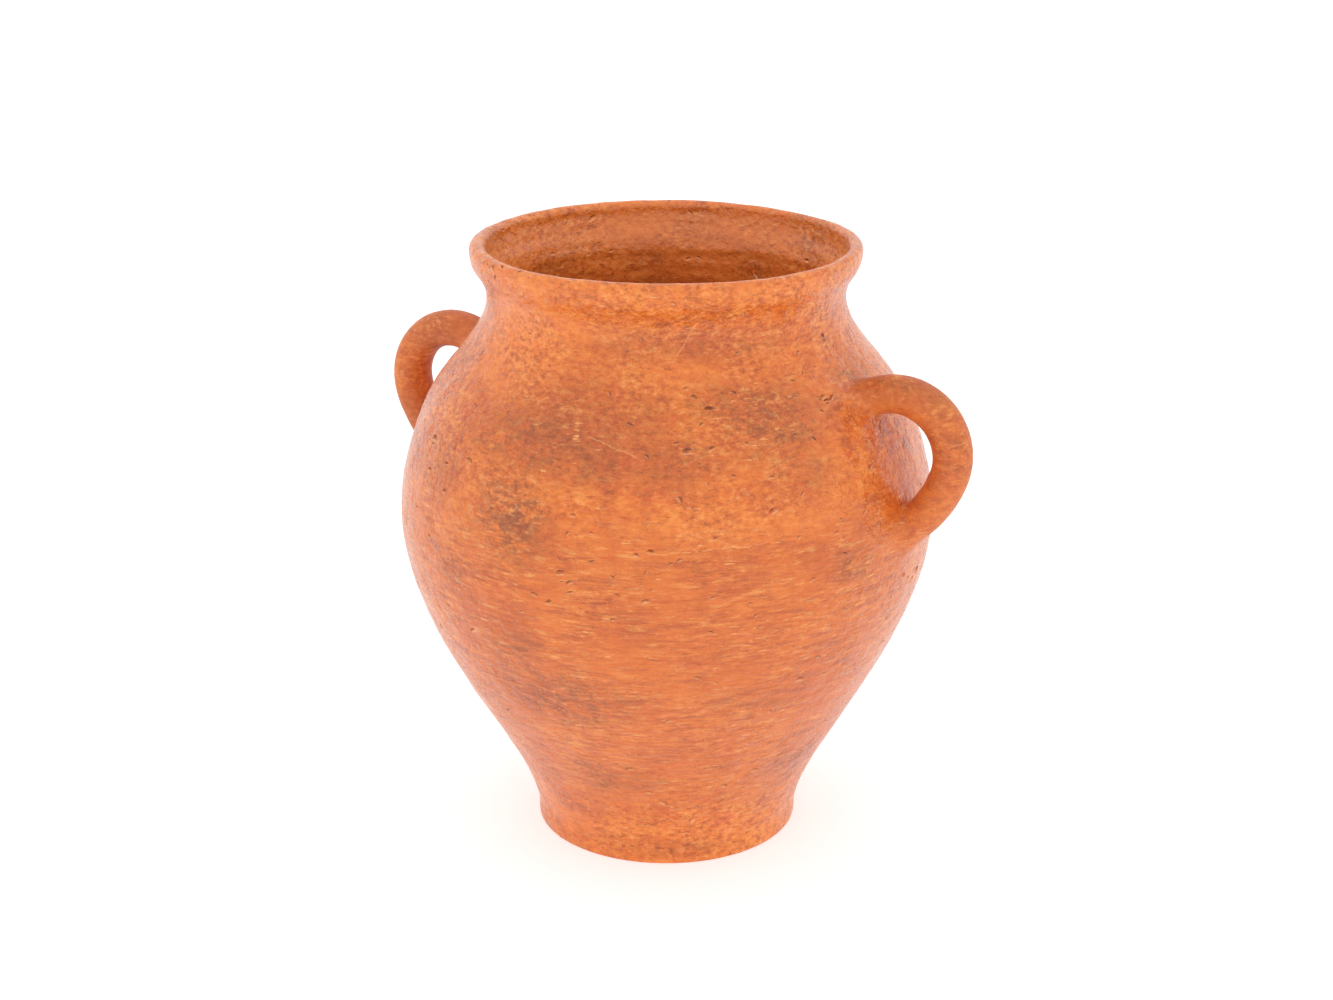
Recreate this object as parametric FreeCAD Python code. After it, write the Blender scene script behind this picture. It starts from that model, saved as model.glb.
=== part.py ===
"""Two-handled terracotta jar, wheel-thrown in sections and luted together.

The jar stands on a turned foot ring, swells to a full belly, draws in to a short neck and opens into
a rolled lip. A potter makes it in pieces: a floor disc, a foot ring, a lower bowl, an upper bowl, a neck
collar, a lip coil, two pulled ear handles, a small coil round each handle root, and two coils pressed
over the joints on the inside. Each is a solid of its own here, and meets its neighbours face to face.
The thrown sections lock with a V tongue in a V groove, as luted rims are cut.

Units are millimetres. +Z is up, the origin is the middle of the resting face, and the handles are on X.
"""
import FreeCAD, Part
import math
import os

from FreeCAD import Vector

# Driving dimensions
JAR_HEIGHT = 380.0
FOOT_RADIUS = 83.3
FOOT_HEIGHT = 12.0
BELLY_RADIUS = 166.0
BELLY_HEIGHT = 213.0
NECK_RADIUS = 110.0
NECK_HEIGHT = 350.0
LIP_ROLL_RADIUS = 4.6
LIP_OUTER_RADIUS = 119.5

# Outside of the wall from foot to lip: (height, radius, wall thickness)
WALL_STATIONS = [
    (FOOT_HEIGHT, 83.5, 11.0),
    (34.0, 90.5, 10.5),
    (70.0, 109.5, 10.0),
    (112.0, 134.0, 9.5),
    (160.0, 156.0, 9.0),
    (BELLY_HEIGHT, BELLY_RADIUS, 8.5),
    (262.0, 156.5, 8.5),
    (292.0, 142.5, 9.0),
    (318.0, 122.0, 11.0),
    (NECK_HEIGHT, NECK_RADIUS, 7.5),
    (361.5, 115.0, 9.0),
]
THROAT_RADIUS = NECK_RADIUS - 7.5  # the narrowest part of the mouth, a short straight bore
THROAT_HEIGHT = 343.0
THROAT_LENGTH = 12.0

# Joints between the thrown sections
NECK_SEAM_HEIGHT = 326.0
LIP_SEAM_HEIGHT = 364.0
TONGUE_DEPTH = 3.0
SEAM_LAND = 1.5  # flat stretch each side of the tongue

# Foot and floor
DISC_RADIUS = 76.0
DISC_UNDERSIDE = 3.0
FOOT_INNER_RADIUS = 66.0
FOOT_EDGE_ROUND = 1.5

# Inner coils, pressed over the joints and cut to the wall behind them
FLOOR_COIL_WIDTH = 13.0
FLOOR_COIL_HEIGHT = 14.0
FLOOR_COIL_HOLLOW = 2.5
SEAM_COIL_WIDTH = 28.0
SEAM_COIL_THICKNESS = 4.0
COIL_OVERRUN = 6.0  # how far each blank runs into the wall before it is cut

# Handles: an oval coil bent along a tight crown arc and a long back arc, in the XZ plane
GRIP_HALF_THICKNESS = 11.3
GRIP_HALF_WIDTH = 13.8
CROWN_CENTRE = (156.4, 269.2)
CROWN_RADIUS = 35.0
CROWN_START = 128.0  # degrees above +X, inside the wall
CROWN_END = -20.0  # where the crown arc runs into the back arc
BACK_RADIUS = 75.0
BACK_END = -64.0  # inside the wall

# Root coils: how far each climbs the handle, and how far it spreads on the wall past the handle's
# section: away from the finger gap, towards the gap, and to each side
UPPER_ROOT = {"rise": 16.0, "outer": 6.0, "gap": 3.5, "side": 10.0}
LOWER_ROOT = {"rise": 19.0, "outer": 9.0, "gap": 3.5, "side": 12.0}
ROOT_DEPTH = 7.0  # how far the blank reaches into the wall before it is cut
ROOT_TUCK = 0.6  # how far its thin upper edge dips into the handle before it is cut
ROOT_SEARCH = 40.0  # degrees of the centreline within which each end comes out of the wall
ROOT_SECTIONS = 5
OVAL_POINTS = 16
HALVINGS = 50  # of the range searched for a place on a curve

FAR = 230.0  # beyond the jar on every side
AXIS_SIDE = 20.0  # well inside the jar's hollow
ABOVE_LIP = JAR_HEIGHT + 10.0
AXIS = (Vector(0, 0, 0), Vector(0, 0, 1))


def point(radius, height):
    return Vector(radius, 0, height)


def spline(points, start=None, end=None):
    """A smooth curve through the points, with the end directions where they are given."""
    curve = Part.BSplineCurve()
    if start is None:
        curve.interpolate(Points=points)
    else:
        curve.interpolate(Points=points, InitialTangent=start, FinalTangent=end)
    return curve


def face_of(edges):
    return Part.Face(Part.Wire(Part.__sortEdges__(edges)))


def lines(points):
    """Edges that join the points in turn."""
    return [Part.makeLine(a, b) for a, b in zip(points, points[1:])]


def turned(face):
    """The solid that a profile face in the XZ plane sweeps about the jar's axis."""
    solid = face.revolve(AXIS[0], AXIS[1], 360)
    solid = Part.Solid(solid) if solid.ShapeType != "Solid" else solid
    return solid


def outside_curve():
    points = [point(radius, height) for height, radius, _ in WALL_STATIONS]
    return spline(points)


def radius_at(curve, height):
    """The outside radius of the wall at a height, by halving the curve's parameter range."""
    low, high = curve.FirstParameter, curve.LastParameter
    for _ in range(HALVINGS):
        middle = (low + high) / 2
        if curve.value(middle).z < height:
            low = middle
        else:
            high = middle
    return curve.value(low).x


def direction_at(curve, spot):
    """The wall's upward direction at a spot on its outside."""
    along = curve.tangent(curve.parameter(spot))[0]
    return along if along.z > 0 else along * -1


def inside_points(curve):
    """The stations shifted inwards, square to the wall, by the wall's thickness."""
    found = []
    for height, radius, thickness in WALL_STATIONS[:-1]:
        along = direction_at(curve, point(radius, height))
        inward = Vector(-along.z, 0, along.x)
        found.append(point(radius, height) + inward * thickness)
    return found


def wall_face():
    """The whole wall's profile, from the foot seam to the top of the lip."""
    outside = outside_curve()
    lip_centre_radius = LIP_OUTER_RADIUS - LIP_ROLL_RADIUS
    lip_centre = point(lip_centre_radius, JAR_HEIGHT - LIP_ROLL_RADIUS)
    lip_outer = lip_centre + Vector(LIP_ROLL_RADIUS, 0, 0)
    lip_top = lip_centre + Vector(0, 0, LIP_ROLL_RADIUS)
    lip_inner = lip_centre - Vector(LIP_ROLL_RADIUS, 0, 0)

    under_lip = point(WALL_STATIONS[-1][1], WALL_STATIONS[-1][0])
    leaving = direction_at(outside, under_lip)
    flare = spline([under_lip, lip_outer], leaving, Vector(0, 0, 1))
    roll = Part.Arc(lip_outer, lip_top, lip_inner)

    throat_top = point(THROAT_RADIUS, THROAT_HEIGHT + THROAT_LENGTH / 2)
    throat_foot = point(THROAT_RADIUS, THROAT_HEIGHT - THROAT_LENGTH / 2)
    mouth = spline([lip_inner, throat_top], Vector(0, 0, -1), Vector(0, 0, -1))

    below = inside_points(outside)[:-1]
    below[0] = point(below[0].x, FOOT_HEIGHT)
    low_along = direction_at(outside, point(WALL_STATIONS[0][1], FOOT_HEIGHT))
    inside = spline([throat_foot] + below[::-1], Vector(0, 0, -1), low_along * -1)

    edges = [outside.toShape(), flare.toShape(), roll.toShape(), mouth.toShape()]
    edges += lines([throat_top, throat_foot])
    edges += [inside.toShape()]
    edges += lines([below[0], point(WALL_STATIONS[0][1], FOOT_HEIGHT)])
    return face_of(edges)


def filled_face():
    """The jar without its hollow, up to the neck: handles and root coils end on this."""
    outside = outside_curve()
    foot = point(WALL_STATIONS[0][1], FOOT_HEIGHT)
    top = point(WALL_STATIONS[-1][1], WALL_STATIONS[-1][0])
    edges = [outside.toShape()] + lines([top, point(0, top.z), point(0, foot.z), foot])
    return face_of(edges)


def seam_line(height, outer_radius, inner_radius):
    """A joint's profile across the wall, from outside to inside, with the tongue pointing down."""
    return [
        point(FAR, height),
        point(outer_radius - SEAM_LAND, height),
        point((outer_radius + inner_radius) / 2, height - TONGUE_DEPTH),
        point(inner_radius + SEAM_LAND, height),
        point(AXIS_SIDE, height),
    ]


def wall_at(wall, height):
    """The wall's outer and inner radius at a height."""
    level = Part.makeLine(point(AXIS_SIDE, height), point(FAR, height))
    crossed = level.common(wall).BoundBox
    return crossed.XMax, crossed.XMin


def section(wall, lower_seam, upper_seam):
    """The thrown section between two seams."""
    outline = lower_seam + upper_seam[::-1] + lower_seam[:1]
    cut = wall.common(face_of(lines(outline)))
    return turned(cut.Faces[0])


def thrown_sections(wall):
    foot_seam = [point(FAR, FOOT_HEIGHT), point(AXIS_SIDE, FOOT_HEIGHT)]
    belly_seam = seam_line(BELLY_HEIGHT, *wall_at(wall, BELLY_HEIGHT))
    neck_seam = seam_line(NECK_SEAM_HEIGHT, *wall_at(wall, NECK_SEAM_HEIGHT))
    lip_seam = seam_line(LIP_SEAM_HEIGHT, *wall_at(wall, LIP_SEAM_HEIGHT))
    top = [point(FAR, ABOVE_LIP), point(AXIS_SIDE, ABOVE_LIP)]
    return {
        "lower_body": section(wall, foot_seam, belly_seam),
        "upper_body": section(wall, belly_seam, neck_seam),
        "neck_collar": section(wall, neck_seam, lip_seam),
        "lip_coil": section(wall, lip_seam, top),
    }


def floor_disc():
    height = FOOT_HEIGHT - DISC_UNDERSIDE
    return Part.makeCylinder(DISC_RADIUS, height, Vector(0, 0, DISC_UNDERSIDE))


def foot_ring():
    """A turned ring with a rebate that the floor disc sits in. Its resting face is flat."""
    wall_radius = WALL_STATIONS[0][1]
    edge = FOOT_EDGE_ROUND
    rest_outer = point(FOOT_RADIUS - edge, 0)
    side_foot = point(FOOT_RADIUS, edge)
    middle = edge * (1 - math.sqrt(0.5))
    rounding = Part.Arc(rest_outer, point(FOOT_RADIUS - middle, middle), side_foot)
    outline = [
        side_foot,
        point(wall_radius, FOOT_HEIGHT),
        point(DISC_RADIUS, FOOT_HEIGHT),
        point(DISC_RADIUS, DISC_UNDERSIDE),
        point(FOOT_INNER_RADIUS, DISC_UNDERSIDE),
        point(FOOT_INNER_RADIUS, 0),
        rest_outer,
    ]
    return turned(face_of(lines(outline) + [rounding.toShape()]))


def floor_coil(wall, lower_body):
    """A coil pressed into the corner between floor and wall, with a hollow face."""
    toe = point(wall_at(wall, FOOT_HEIGHT)[1] - FLOOR_COIL_WIDTH, FOOT_HEIGHT)
    top = point(wall_at(wall, FOOT_HEIGHT + FLOOR_COIL_HEIGHT)[1], FOOT_HEIGHT + FLOOR_COIL_HEIGHT)
    slope = (top - toe).normalize()
    hollow = (toe + top) / 2 + Vector(slope.z, 0, -slope.x) * FLOOR_COIL_HOLLOW
    behind = top.x + COIL_OVERRUN
    outline = lines([top, point(behind, top.z), point(behind, toe.z), toe])
    blank = turned(face_of([Part.Arc(toe, hollow, top).toShape()] + outline))
    return biggest(blank.cut(lower_body))


def seam_coil(wall, lower_body, upper_body):
    """A flattened coil pressed over the belly seam from the inside."""
    low_height = BELLY_HEIGHT - SEAM_COIL_WIDTH / 2
    high_height = BELLY_HEIGHT + SEAM_COIL_WIDTH / 2
    low = point(wall_at(wall, low_height)[1], low_height)
    high = point(wall_at(wall, high_height)[1], high_height)
    crest = point(wall_at(wall, BELLY_HEIGHT)[1] - SEAM_COIL_THICKNESS, BELLY_HEIGHT)
    behind = max(low.x, high.x) + COIL_OVERRUN
    outline = lines([high, point(behind, high_height), point(behind, low_height), low])
    blank = turned(face_of([Part.Arc(low, crest, high).toShape()] + outline))
    return biggest(blank.cut(lower_body).cut(upper_body))


def biggest(shape):
    """The largest solid of a shape, without the crumbs that a cut can leave."""
    return max(shape.Solids, key=lambda solid: solid.Volume)


def polar(centre, radius, degrees):
    angle = math.radians(degrees)
    return point(centre[0] + radius * math.cos(angle), centre[1] + radius * math.sin(angle))


def back_centre():
    """The centre of the back arc, which runs on smoothly from the crown arc."""
    spot = polar(CROWN_CENTRE, CROWN_RADIUS - BACK_RADIUS, CROWN_END)
    return (spot.x, spot.z)


def handle_path(degrees):
    """The handle's centreline: a point and its direction, from the upper root to the lower."""
    on_crown = degrees >= CROWN_END
    centre = CROWN_CENTRE if on_crown else back_centre()
    radius = CROWN_RADIUS if on_crown else BACK_RADIUS
    angle = math.radians(degrees)
    forward = Vector(math.sin(angle), 0, -math.cos(angle))
    return polar(centre, radius, degrees), forward


def oval(centre, across, half_across, half_wide):
    """An oval wire in the plane that holds across and the Y axis, begun on the across side."""
    points = []
    for step in range(OVAL_POINTS):
        turn = 2 * math.pi * step / OVAL_POINTS
        wide = Vector(0, half_wide * math.sin(turn), 0)
        points.append(centre + across * (half_across * math.cos(turn)) + wide)
    curve = Part.BSplineCurve()
    curve.interpolate(Points=points, PeriodicFlag=True)
    return Part.Wire(curve.toShape())


def square_to(forward):
    """The direction across the handle, in its own plane."""
    return Vector(-forward.z, 0, forward.x)


def grip():
    """The whole bent coil, from inside the wall to inside the wall, as its crown and its back."""
    swept = []
    for centre, start, end in [
        (CROWN_CENTRE, CROWN_START, CROWN_END),
        (back_centre(), CROWN_END, BACK_END),
    ]:
        spot, forward = handle_path(start)
        disc = Part.Face(oval(spot, square_to(forward), GRIP_HALF_THICKNESS, GRIP_HALF_WIDTH))
        swept.append(disc.revolve(point(*centre), Vector(0, 1, 0), start - end))
    return swept


def root_angle(curve, inner, outer):
    """The angle at which the centreline crosses the wall, between one inside it and one outside."""
    for _ in range(HALVINGS):
        middle = (inner + outer) / 2
        spot, _ = handle_path(middle)
        if spot.x < radius_at(curve, spot.z):
            inner = middle
        else:
            outer = middle
    return outer


def root_coil(curve, crossing, climb, size, neighbours):
    """A coil smoothed round a handle's root: it hugs the handle above and spreads on the wall below.

    climb is the angle by which the centreline turns over the coil's rise. The ovals turn from the
    wall's own slope to square across the handle, and their spread falls away as a quarter ellipse does.
    They sit off the centreline towards the side that spreads further.
    """
    foot_spot, foot_forward = handle_path(crossing)
    wall_along = direction_at(curve, foot_spot)
    outward = Vector(wall_along.z, 0, -wall_along.x)
    top_along = square_to(handle_path(crossing + climb)[1])
    if top_along.dot(wall_along) < 0:
        top_along = top_along * -1
    slant = abs(foot_forward.dot(outward))

    away_from_gap = 1 if wall_along.dot(square_to(foot_forward)) > 0 else -1
    spread = (size["outer"] + size["gap"]) / 2
    shift = (size["outer"] - size["gap"]) / 2 * away_from_gap

    buried_thick = GRIP_HALF_THICKNESS / slant + spread + ROOT_DEPTH
    buried_width = GRIP_HALF_WIDTH + size["side"] + ROOT_DEPTH
    buried_centre = foot_spot - outward * ROOT_DEPTH + wall_along * shift
    sections = [oval(buried_centre, wall_along, buried_thick, buried_width)]
    for step in range(ROOT_SECTIONS):
        risen = step / (ROOT_SECTIONS - 1)
        spot, _ = handle_path(crossing + climb * risen)
        along = (wall_along * (1 - risen) + top_along * risen).normalize()
        tilt = 1 / slant * (1 - risen) + risen
        flare = 1 - math.sqrt(1 - (1 - risen) ** 2)
        half_thick = GRIP_HALF_THICKNESS * tilt + (spread + ROOT_TUCK) * flare - ROOT_TUCK
        half_width = GRIP_HALF_WIDTH + (size["side"] + ROOT_TUCK) * flare - ROOT_TUCK
        sections.append(oval(spot + along * (shift * flare), along, half_thick, half_width))

    blank = Part.makeLoft(sections, True, False)
    for neighbour in neighbours:
        blank = blank.cut(neighbour)
    return biggest(blank)


def handle_parts():
    """The right handle and its two root coils, on +X."""
    curve = outside_curve()
    filled = turned(filled_face())
    crown, back = grip()
    upper = root_angle(curve, CROWN_START, CROWN_START - ROOT_SEARCH)
    lower = root_angle(curve, BACK_END, BACK_END + ROOT_SEARCH)
    upper_climb = -math.degrees(UPPER_ROOT["rise"] / CROWN_RADIUS)
    lower_climb = math.degrees(LOWER_ROOT["rise"] / BACK_RADIUS)
    return {
        "handle": biggest(crown.fuse(back).removeSplitter().cut(filled)),
        "handle_upper_coil": root_coil(curve, upper, upper_climb, UPPER_ROOT, [crown, filled]),
        "handle_lower_coil": root_coil(curve, lower, lower_climb, LOWER_ROOT, [back, filled]),
    }


def half_turn(shape):
    """The same piece on the other side of the jar."""
    copy = shape.copy()
    copy.rotate(AXIS[0], AXIS[1], 180)
    return copy


def all_parts():
    wall = wall_face()
    parts = thrown_sections(wall)
    parts["floor_disc"] = floor_disc()
    parts["foot_ring"] = foot_ring()
    parts["floor_coil"] = floor_coil(wall, parts["lower_body"])
    parts["belly_seam_coil"] = seam_coil(wall, parts["lower_body"], parts["upper_body"])
    for name, shape in handle_parts().items():
        parts["right_" + name] = shape
        parts["left_" + name] = half_turn(shape)
    return parts


def main():
    os.makedirs("parts", exist_ok=True)
    for name, shape in sorted(all_parts().items()):
        print(f"{name}: valid {shape.isValid()}, {len(shape.Solids)} solid, {shape.Volume:.0f} mm3")
        shape.exportStep(os.path.join("parts", name + ".step"))


main()
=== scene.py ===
"""Looks for the two-handled terracotta jar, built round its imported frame.

Every turned piece takes its profile from the frame. The wall's outside and inside are one continuous
skin, sampled once and shared by the foot, the two bowls, the neck and the lip, so their seams don't show.
Lengths are in metres, save where a comment says millimetres, +Z is up, and the handles are on X.
"""
import math

import bpy
import numpy as np
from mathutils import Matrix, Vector


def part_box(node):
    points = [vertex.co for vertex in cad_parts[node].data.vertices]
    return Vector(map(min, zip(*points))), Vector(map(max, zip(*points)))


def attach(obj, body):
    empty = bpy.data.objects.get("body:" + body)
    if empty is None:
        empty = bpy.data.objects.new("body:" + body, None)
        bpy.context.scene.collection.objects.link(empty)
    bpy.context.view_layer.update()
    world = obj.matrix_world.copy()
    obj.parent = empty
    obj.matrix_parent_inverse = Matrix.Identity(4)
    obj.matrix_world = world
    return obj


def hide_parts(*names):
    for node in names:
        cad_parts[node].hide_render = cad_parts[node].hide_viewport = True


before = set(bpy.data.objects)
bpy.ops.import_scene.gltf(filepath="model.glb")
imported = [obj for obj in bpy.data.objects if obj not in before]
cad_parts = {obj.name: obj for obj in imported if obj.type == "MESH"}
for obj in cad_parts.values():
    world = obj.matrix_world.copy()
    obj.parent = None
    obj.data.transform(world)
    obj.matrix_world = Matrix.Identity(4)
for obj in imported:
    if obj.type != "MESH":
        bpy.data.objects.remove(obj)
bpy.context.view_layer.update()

MM = 0.001
JAR_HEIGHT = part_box("lip_coil")[1].z

# Where the thrown sections meet
FOOT_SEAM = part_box("lower_body")[0].z
BELLY_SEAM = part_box("lower_body")[1].z
NECK_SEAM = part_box("upper_body")[1].z
LIP_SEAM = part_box("neck_collar")[1].z

# Mesh density of the skin
COLUMNS = 288
FINEST = 3  # a base cell is halved this many times where it is finest
SPLIT = 2 ** FINEST
ROW_STEP_MIN = 0.7 * MM
ROW_STEP_MAX = 3.6 * MM
ROW_TURN = 0.16  # radians of profile that one row may turn through

# Mesh density of the small turned pieces
COIL_COLUMNS = 200
COIL_STEP = 1.5 * MM
DISC_COLUMNS = 144
DISC_RINGS = 44

# Relief: each layer's height and lump size in millimetres, and its own seed
SEED = 41
LUMP_WAVES = 20
LAYERS = [(0.30, 70, 1), (0.085, 13, 2), (0.035, 4.5, 3)]
RING_PITCH = 9.5 * MM  # the finger rings left by throwing
RING_OUTSIDE = 0.045 * MM
RING_INSIDE_MORE = 0.13 * MM
FLAT_FOOT = 5 * MM  # the relief fades out over this height above the resting face

# Studio
WORLD_STRENGTH = 1.11
FLOOR_GLOW = 0.46
SENSOR_WIDTH = 36.0
LENS = 62.3
CAMERA_AZIMUTH = math.radians(29.1)
CAMERA_AWAY = 3.616 * JAR_HEIGHT
CAMERA_HEIGHT = 1.807 * JAR_HEIGHT
AIM_HEIGHT = 0.559 * JAR_HEIGHT


# ---- profiles

def outline(node):
    """The node's profile: each (radius, height) corner, with the corners that an edge joins it to."""
    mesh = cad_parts[node].data
    corner = {}
    for vertex in mesh.vertices:
        x, y, z = vertex.co
        if abs(y) < 1e-6 and x > 0:
            corner[vertex.index] = (round(x, 6), round(z, 6))
    beside = {}
    for edge in mesh.edges:
        a, b = (corner.get(index) for index in edge.vertices)
        if a and b and a != b:
            beside.setdefault(a, set()).add(b)
            beside.setdefault(b, set()).add(a)
    return beside


def walk(beside, start):
    """The closed loop of corners that leaves start upwards."""
    path = [start, max(beside[start], key=lambda corner: corner[1])]
    while path[-1] != start:
        path.append(next(corner for corner in beside[path[-1]] if corner != path[-2]))
    return path[:-1]


def at_height(beside, height, pick):
    """The outermost or innermost corner at a seam's height."""
    return pick(corner for corner in beside if abs(corner[1] - height) < 1e-5)


def between(loop, first, last):
    """The corners from first to last, going round the loop."""
    start = loop.index(first)
    turned = loop[start:] + loop[:start]
    return turned[: turned.index(last) + 1]


def natural_spline(along, points):
    """The second derivatives at the knots of the natural cubic spline through the points."""
    count = len(along)
    gaps = np.diff(along)
    matrix = np.eye(count)
    right = np.zeros((count, 2))
    slopes = np.diff(points, axis=0) / gaps[:, None]
    for i in range(1, count - 1):
        matrix[i, i - 1] = gaps[i - 1]
        matrix[i, i] = 2 * (gaps[i - 1] + gaps[i])
        matrix[i, i + 1] = gaps[i]
        right[i] = 6 * (slopes[i] - slopes[i - 1])
    return np.linalg.solve(matrix, right)


class Skin:
    """The wall's profile from the foot's outer edge, over the lip, to the floor inside."""

    def __init__(self):
        foot, lower, upper, neck, lip = (
            outline(node)
            for node in ("foot_ring", "lower_body", "upper_body", "neck_collar", "lip_coil")
        )
        rest = at_height(foot, 0.0, max)
        outer = {}
        inner = {}
        for seam, beside in ((FOOT_SEAM, lower), (BELLY_SEAM, lower), (NECK_SEAM, upper), (LIP_SEAM, neck)):
            outer[seam] = at_height(beside, seam, max)
            inner[seam] = at_height(beside, seam, min)
        loops = {
            "foot_ring": walk(foot, rest),
            "lower_body": walk(lower, outer[FOOT_SEAM]),
            "upper_body": walk(upper, outer[BELLY_SEAM]),
            "neck_collar": walk(neck, outer[NECK_SEAM]),
            "lip_coil": walk(lip, outer[LIP_SEAM]),
        }
        self.spans = {
            "foot_ring": [(rest, outer[FOOT_SEAM])],
            "lower_body": [(outer[FOOT_SEAM], outer[BELLY_SEAM]), (inner[BELLY_SEAM], inner[FOOT_SEAM])],
            "upper_body": [(outer[BELLY_SEAM], outer[NECK_SEAM]), (inner[NECK_SEAM], inner[BELLY_SEAM])],
            "neck_collar": [(outer[NECK_SEAM], outer[LIP_SEAM]), (inner[LIP_SEAM], inner[NECK_SEAM])],
            "lip_coil": [(outer[LIP_SEAM], inner[LIP_SEAM])],
        }
        order = [
            ("foot_ring", 0), ("lower_body", 0), ("upper_body", 0), ("neck_collar", 0), ("lip_coil", 0),
            ("neck_collar", 1), ("upper_body", 1), ("lower_body", 1),
        ]
        corners = [rest]
        for node, span in order:
            corners += between(loops[node], *self.spans[node][span])[1:]
        self.points = np.array(corners)
        self.along = np.concatenate([[0], np.cumsum(np.hypot(*np.diff(self.points, axis=0).T))])
        self.bend = natural_spline(self.along, self.points)
        self.place = {corner: distance for corner, distance in zip(corners, self.along)}
        self.breaks = [self.place[rest]]
        self.breaks += [self.place[self.spans[node][span][1]] for node, span in order]
        self.hidden = {}
        for node, spans in self.spans.items():
            self.hidden[node] = []
            for (_, last), (first, _) in zip(spans, spans[1:] + spans[:1]):
                self.hidden[node].append(between(loops[node], last, first)[1:-1])
        self.rim = self.along[np.argmax(self.points[:, 1])]

    def at(self, distance):
        """Radius and height, the outward normal in the half plane, and the curvature at distances along."""
        distance = np.clip(distance, 0, self.along[-1])
        i = np.clip(np.searchsorted(self.along, distance) - 1, 0, len(self.along) - 2)
        gap = (self.along[i + 1] - self.along[i])[:, None]
        after = (distance - self.along[i])[:, None] / gap
        before = 1 - after
        p, q = self.points[i], self.points[i + 1]
        m, n = self.bend[i], self.bend[i + 1]
        place = before * p + after * q
        place += ((before ** 3 - before) * m + (after ** 3 - after) * n) * gap ** 2 / 6
        slope = (q - p) / gap + ((3 * after ** 2 - 1) * n - (3 * before ** 2 - 1) * m) * gap / 6
        second = before * m + after * n
        length = np.hypot(*slope.T)
        normal = np.stack([slope[:, 1], -slope[:, 0]], 1) / length[:, None]
        curvature = (slope[:, 0] * second[:, 1] - slope[:, 1] * second[:, 0]) / length ** 3
        return place, normal, curvature

    def rows(self):
        """Row distances with every seam on a row, and closer where the profile turns."""
        found = [0.0]
        for start, end in zip(self.breaks, self.breaks[1:]):
            fine = np.linspace(start, end, 400)
            step = np.clip(ROW_TURN / (np.abs(self.at(fine)[2]) + 1e-9), ROW_STEP_MIN, ROW_STEP_MAX)
            density = np.concatenate([[0], np.cumsum(np.diff(fine) * 0.5 * (1 / step[1:] + 1 / step[:-1]))])
            count = max(1, math.ceil(density[-1]))
            found += list(np.interp(np.linspace(0, density[-1], count + 1)[1:], density, fine))
        return np.array(found)

    def outside_distance(self, height):
        """The distance along at a height on the outside."""
        fine = np.linspace(0, self.rim, 3000)
        heights = np.maximum.accumulate(self.at(fine)[0][:, 1])
        return np.interp(height, heights, fine)


skin = Skin()


def spun(distance, angle):
    """Points and outward normals on the undisplaced skin."""
    place, normal, _ = skin.at(distance)
    cos, sin = np.cos(angle), np.sin(angle)
    points = np.stack([place[:, 0] * cos, place[:, 0] * sin, place[:, 1]], 1)
    normals = np.stack([normal[:, 0] * cos, normal[:, 0] * sin, normal[:, 1]], 1)
    return points, normals


# ---- relief

def smooth(low, high, value):
    """An S-shaped change from 0 at low to 1 at high, and level beyond them."""
    part = np.clip((value - low) / (high - low), 0, 1)
    return part * part * (3 - 2 * part)


def patch(points, patches):
    """How strongly the patches cover the points, from 0 up to each one's own strength."""
    cover = np.zeros(len(points))
    azimuth = np.arctan2(points[:, 1], points[:, 0])
    radius = np.hypot(points[:, 0], points[:, 1])
    for degrees, level, half_width, half_height, strength in patches:
        turn = (azimuth - math.radians(degrees) + math.pi) % (2 * math.pi) - math.pi
        rise = points[:, 2] - level * JAR_HEIGHT
        far = np.hypot(turn * radius / (half_width * MM), rise / (half_height * MM))
        cover = np.maximum(cover, strength * smooth(1.6, 0.3, far))
    return cover


def lumps(points, size, seed):
    """A smooth random height with unit variance, in lumps of about that size."""
    draw = np.random.default_rng(SEED * 1000 + seed)
    waves = draw.normal(size=(LUMP_WAVES, 3))
    waves *= (math.pi / size * draw.uniform(0.6, 1.4, LUMP_WAVES) / np.linalg.norm(waves, axis=1))[:, None]
    phases = draw.uniform(0, 2 * math.pi, LUMP_WAVES)
    return np.cos(points @ waves.T + phases).sum(1) / math.sqrt(LUMP_WAVES / 2)


def relief(points, inside, handled):
    """How far the clay stands out from the true form, before any pits."""
    height = 0.0
    for thickness, size, seed in LAYERS:
        height = height + thickness * MM * lumps(points, size * MM, seed)
    swirl = np.arctan2(points[:, 1], points[:, 0])
    drift = 1.2 * lumps(points, 90 * MM, 4)
    rings = np.sin(2 * math.pi * points[:, 2] / RING_PITCH + swirl + drift)
    depth = (RING_OUTSIDE + RING_INSIDE_MORE * inside) * (1 - handled)
    height += rings * depth * (1 + 0.4 * lumps(points, 60 * MM, 5))
    return height * smooth(0.0, FLAT_FOOT, points[:, 2])


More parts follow.
